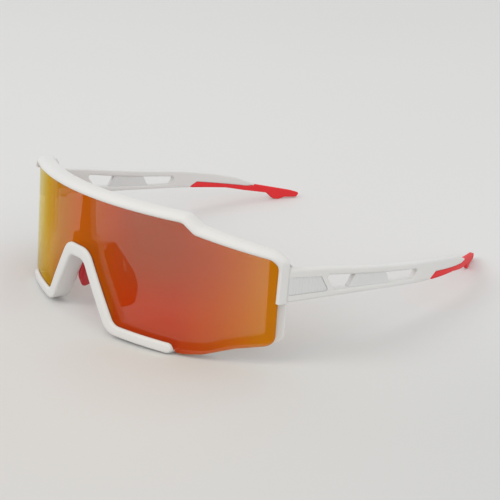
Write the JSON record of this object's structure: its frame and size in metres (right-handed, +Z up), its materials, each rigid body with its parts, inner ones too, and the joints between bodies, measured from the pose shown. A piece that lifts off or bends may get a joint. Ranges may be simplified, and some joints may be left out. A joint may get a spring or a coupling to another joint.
{
  "type": "wraparound sport sunglasses",
  "caption": "Wraparound one-piece-lens sport sunglasses with brow frame, nose arch trim, nose pads and folding open-sided temples with rubber ear sleeves.",
  "frame": {"origin": "centre of the footprint, on the surface the open glasses stand on", "axes": "+X to the wearer's left, -Y where the lens faces, +Y to the ears, +Z up; the front leans 6.7 degrees back on its feet"},
  "size_m": [0.147, 0.1488, 0.0478],
  "materials": {
    "frame_white": "satin white moulded plastic",
    "lens_mirror": "tinted see-through plastic with a red to amber mirror coat",
    "pad_red": "soft matt rubber",
    "sleeve_red": "soft satin rubber",
    "panel_grey": "pale grey fine texture",
    "screw_steel": "machined stainless",
    "wire_steel": "drawn wire"
  },
  "bodies": {
    "front": {"main_frame": "frame_white", "lens": "lens_mirror", "lower_trim": "frame_white", "nose_carrier": "frame_white", "nose_wire_left": "wire_steel", "nose_wire_right": "wire_steel", "nose_pad_left": "pad_red", "nose_pad_right": "pad_red", "hinge_screws": "screw_steel", "hinge_nuts": "screw_steel"},
    "temple_arm_left": {"temple_left": "frame_white", "temple_panel_left": "panel_grey", "temple_block_left": "panel_grey", "ear_sleeve_left": "sleeve_red"},
    "temple_arm_right": {"temple_right": "frame_white", "temple_panel_right": "panel_grey", "temple_block_right": "panel_grey", "ear_sleeve_right": "sleeve_red"}
  },
  "joints": [
    {"name": "temple_left_fold", "type": "hinge", "parent": "front", "child": "temple_arm_left", "pos_m": [0.0672, -0.03782, 0.02556], "axis": [0, 0.1167, 0.9932], "range_deg": [0, 86]},
    {"name": "temple_right_fold", "type": "hinge", "parent": "front", "child": "temple_arm_right", "pos_m": [-0.0672, -0.03782, 0.02556], "axis": [0, -0.1167, -0.9932], "range_deg": [0, 76]}
  ]
}
